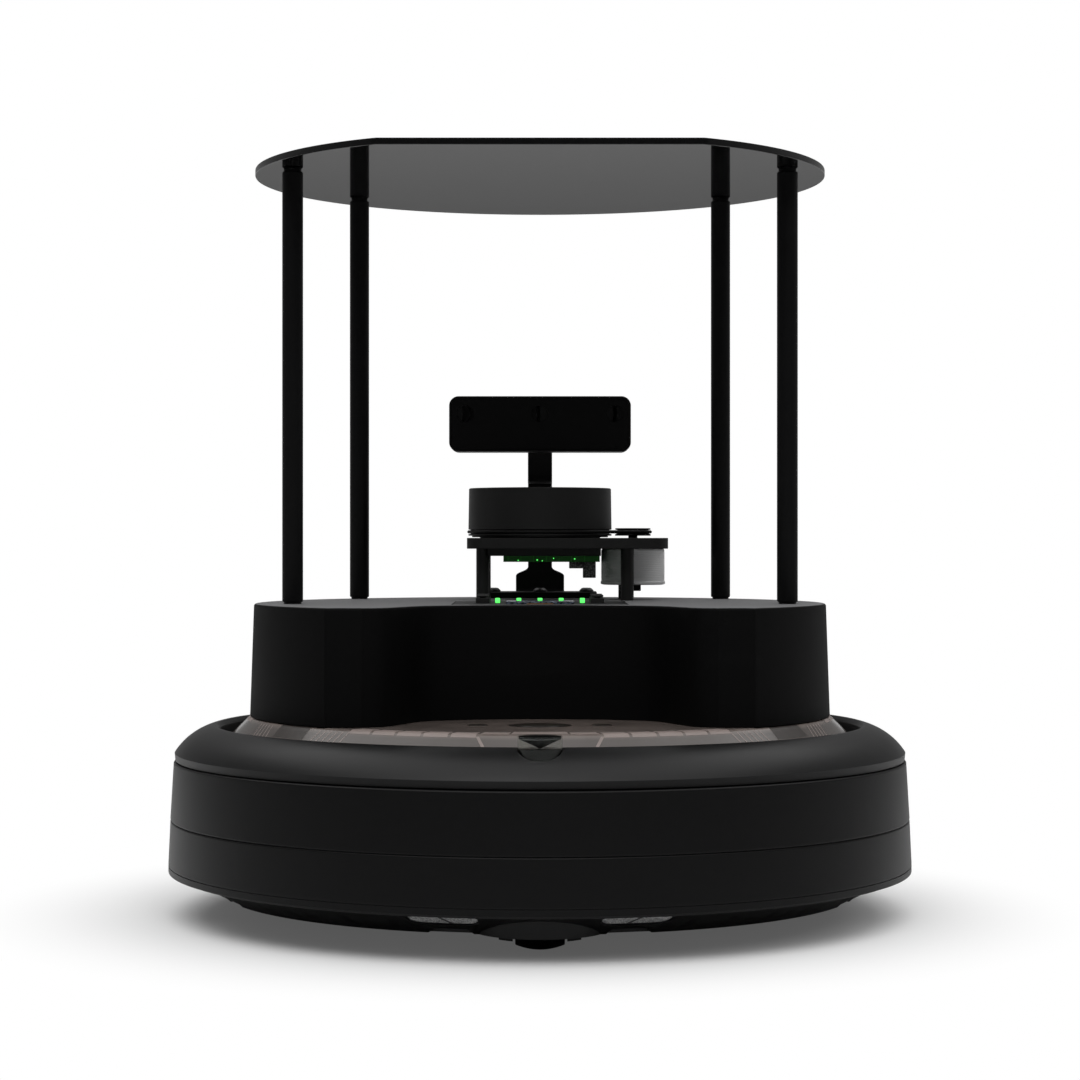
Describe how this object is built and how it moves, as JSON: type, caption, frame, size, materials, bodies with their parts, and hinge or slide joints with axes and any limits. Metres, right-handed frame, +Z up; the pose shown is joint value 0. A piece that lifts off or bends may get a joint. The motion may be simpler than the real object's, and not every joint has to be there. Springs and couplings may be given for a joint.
{
  "type": "autonomous mobile robot",
  "caption": "Round wheeled robot base with sprung bumper, drop wheels, caster, sliding tray and buttons, a shell with a spinning laser scanner and a camera, and a flat deck on posts",
  "frame": {"origin": "on the floor, under the middle of the whole robot, below the axle of the drive wheels", "axes": "+Z is up, -Y is the front with the bumper and the caster, +X is to the right seen from the front; left and right in names are as seen from the front"},
  "size_m": [0.3416, 0.3447, 0.3431],
  "materials": {
    "base_plastic": "satin black",
    "bumper_plastic": "gloss black",
    "ring_plastic": "satin black",
    "faceplate_tint": "smoky translucent brown",
    "clear_lens": "clear moulded plastic",
    "dark_gloss": "gloss black",
    "light_guide": "milky",
    "screw_steel": "zinc plated",
    "tyre_rubber": "moulded rubber",
    "hub_plastic": "moulded",
    "gear_case": "moulded",
    "caster_plastic": "moulded",
    "caster_wheel_plastic": "moulded",
    "tray_plastic": "moulded",
    "battery_wrap": "shrink wrap",
    "circuit_green": "solder resist",
    "panel_dark": "dark solder resist",
    "contact_metal": "plated",
    "window_tint": "dark tinted",
    "button_plastic": "satin",
    "shell_plastic": "satin black",
    "ballast_steel": "plain",
    "port_metal": "plated",
    "display_glass": "gloss",
    "amber_film": "amber film",
    "led_green": "lit green",
    "switch_plastic": "moulded",
    "key_plastic": "moulded",
    "post_metal": "black anodised",
    "deck_plastic": "polished black sheet",
    "black_screw": "blackened",
    "scanner_plastic": "moulded black",
    "motor_metal": "plated can",
    "connector_plastic": "moulded",
    "belt_rubber": "moulded",
    "camera_metal": "black anodised",
    "bracket_metal": "black powder coat"
  },
  "bodies": {
    "base": {"chassis": "base_plastic", "faceplate": "faceplate_tint", "trim_ring": "ring_plastic", "battery": "battery_wrap", "battery_cover": "base_plastic", "main_board": "circuit_green", "charge_contacts": "contact_metal", "cliff_windows": "window_tint", "ir_receiver_lens": "clear_lens", "ir_receiver_cone": "dark_gloss", "light_ring": "light_guide", "base_screws": "screw_steel", "shell": "shell_plastic", "weight_blocks": "ballast_steel", "computer_board": "circuit_green", "computer_ports": "port_metal", "ui_board": "panel_dark", "ui_display": "display_glass", "ui_flex": "amber_film", "ui_leds": "led_green", "ui_switches": "switch_plastic", "post_front_left": "post_metal", "post_front_right": "post_metal", "post_rear_left": "post_metal", "post_rear_right": "post_metal", "top_plate": "deck_plastic", "post_screws": "black_screw", "scanner_legs": "post_metal", "scanner_base": "scanner_plastic", "scanner_board": "circuit_green", "scanner_connectors": "connector_plastic", "scanner_motor": "motor_metal", "scanner_belt": "belt_rubber", "camera_body": "camera_metal", "camera_glass": "display_glass", "camera_lenses": "dark_gloss", "camera_bracket": "bracket_metal", "bracket_screws": "black_screw"},
    "bumper": {"bumper_window": "bumper_plastic", "bumper_skirt": "bumper_plastic"},
    "left_arm": {"left_gearbox": "gear_case"},
    "right_arm": {"right_gearbox": "gear_case"},
    "left_wheel": {"left_tyre": "tyre_rubber", "left_hub": "hub_plastic"},
    "right_wheel": {"right_tyre": "tyre_rubber", "right_hub": "hub_plastic"},
    "caster": {"caster_fork": "caster_plastic", "caster_axle": "screw_steel"},
    "caster_roller": {"caster_wheel": "caster_wheel_plastic"},
    "tray": {"cargo_tray": "tray_plastic"},
    "power_key": {"power_button": "button_plastic"},
    "left_key": {"base_button_left": "button_plastic"},
    "right_key": {"base_button_right": "button_plastic"},
    "panel_key_1": {"ui_button_1": "key_plastic"},
    "panel_key_2": {"ui_button_2": "key_plastic"},
    "panel_key_3": {"ui_button_3": "key_plastic"},
    "panel_key_4": {"ui_button_4": "key_plastic"},
    "scanner_rotor": {"scanner_head": "scanner_plastic"},
    "motor_pulley": {"scanner_pulley": "scanner_plastic"}
  },
  "joints": [
    {"name": "bumper_press", "type": "slide", "parent": "base", "child": "bumper", "axis": [0, 1, 0], "range_m": [0, 0.003], "stiffness_N_per_m": 600, "springref_m": -0.003},
    {"name": "left_wheel_drop", "type": "hinge", "parent": "base", "child": "left_arm", "pos_m": [-0.0915, 0.052, 0.046], "axis": [1, 0, 0], "range_deg": [0, 23], "stiffness_Nm_per_rad": 0.457, "springref_deg": 40.11},
    {"name": "right_wheel_drop", "type": "hinge", "parent": "base", "child": "right_arm", "pos_m": [0.0915, 0.052, 0.046], "axis": [1, 0, 0], "range_deg": [0, 23], "stiffness_Nm_per_rad": 0.457, "springref_deg": 40.11},
    {"name": "left_wheel_spin", "type": "hinge", "parent": "left_arm", "child": "left_wheel", "pos_m": [-0.1165, 0, 0.036], "axis": [1, 0, 0], "continuous": true},
    {"name": "right_wheel_spin", "type": "hinge", "parent": "right_arm", "child": "right_wheel", "pos_m": [0.1165, 0, 0.036], "axis": [1, 0, 0], "continuous": true},
    {"name": "caster_swivel", "type": "hinge", "parent": "base", "child": "caster", "pos_m": [0, -0.131, 0.045], "axis": [0, 0, 1], "continuous": true},
    {"name": "caster_roll", "type": "hinge", "parent": "caster", "child": "caster_roller", "pos_m": [0, -0.125, 0.015], "axis": [1, 0, 0], "continuous": true},
    {"name": "tray_slide", "type": "slide", "parent": "base", "child": "tray", "axis": [0, 1, 0], "range_m": [0, 0.09]},
    {"name": "power_button_press", "type": "slide", "parent": "base", "child": "power_key", "axis": [0, 0, -1], "range_m": [0, 0.0008], "stiffness_N_per_m": 400, "springref_m": -0.0008},
    {"name": "left_button_press", "type": "slide", "parent": "base", "child": "left_key", "axis": [0, 0, -1], "range_m": [0, 0.0008], "stiffness_N_per_m": 400, "springref_m": -0.0008},
    {"name": "right_button_press", "type": "slide", "parent": "base", "child": "right_key", "axis": [0, 0, -1], "range_m": [0, 0.0008], "stiffness_N_per_m": 400, "springref_m": -0.0008},
    {"name": "panel_button_1_press", "type": "slide", "parent": "base", "child": "panel_key_1", "axis": [0, 0, -1], "range_m": [0, 0.00025], "stiffness_N_per_m": 1500, "springref_m": -0.00025},
    {"name": "panel_button_2_press", "type": "slide", "parent": "base", "child": "panel_key_2", "axis": [0, 0, -1], "range_m": [0, 0.00025], "stiffness_N_per_m": 1500, "springref_m": -0.00025},
    {"name": "panel_button_3_press", "type": "slide", "parent": "base", "child": "panel_key_3", "axis": [0, 0, -1], "range_m": [0, 0.00025], "stiffness_N_per_m": 1500, "springref_m": -0.00025},
    {"name": "panel_button_4_press", "type": "slide", "parent": "base", "child": "panel_key_4", "axis": [0, 0, -1], "range_m": [0, 0.00025], "stiffness_N_per_m": 1500, "springref_m": -0.00025},
    {"name": "scanner_spin", "type": "hinge", "parent": "base", "child": "scanner_rotor", "pos_m": [0, 0.0685, 0.18], "axis": [0, 0, 1], "continuous": true},
    {"name": "pulley_spin", "type": "hinge", "parent": "base", "child": "motor_pulley", "pos_m": [0.0456, 0.0685, 0.175], "axis": [0, 0, 1], "continuous": true}
  ],
  "couplings": [
    {"joint": "pulley_spin", "follows": "scanner_spin", "ratio": 4.0771}
  ]
}
